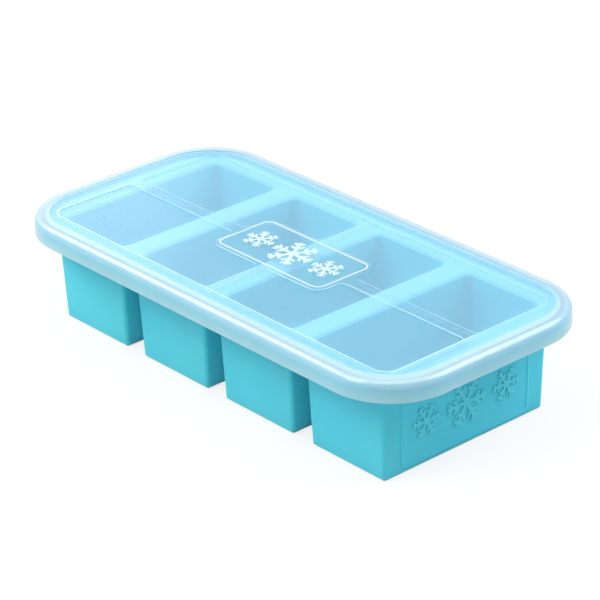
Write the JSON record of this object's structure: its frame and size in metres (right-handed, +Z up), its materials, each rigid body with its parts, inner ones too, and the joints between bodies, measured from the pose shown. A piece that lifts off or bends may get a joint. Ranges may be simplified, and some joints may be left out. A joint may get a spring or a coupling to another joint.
{
  "type": "freezing tray with lid",
  "caption": "Flexible food freezing tray: a row of deep portion wells under a reinforced rim, closed by a clear press-on lid.",
  "frame": {"origin": "on the surface that the tray stands on, under the middle of the tray", "axes": "+X along the row of wells, +Y across the tray, +Z up"},
  "size_m": [0.2786, 0.1364, 0.0581],
  "materials": {
    "silicone": "moulded satin silicone, aqua",
    "steel_wire": "flat-rolled stainless steel wire",
    "clear_plastic": "translucent moulded polypropylene"
  },
  "bodies": {
    "tray": {"tray": "silicone", "rim_wire": "steel_wire"},
    "lid": {"lid": "clear_plastic"}
  },
  "joints": [
    {"name": "lid_lift", "type": "slide", "parent": "tray", "child": "lid", "axis": [0, 0, 1], "range_m": [0, 0.08]}
  ]
}
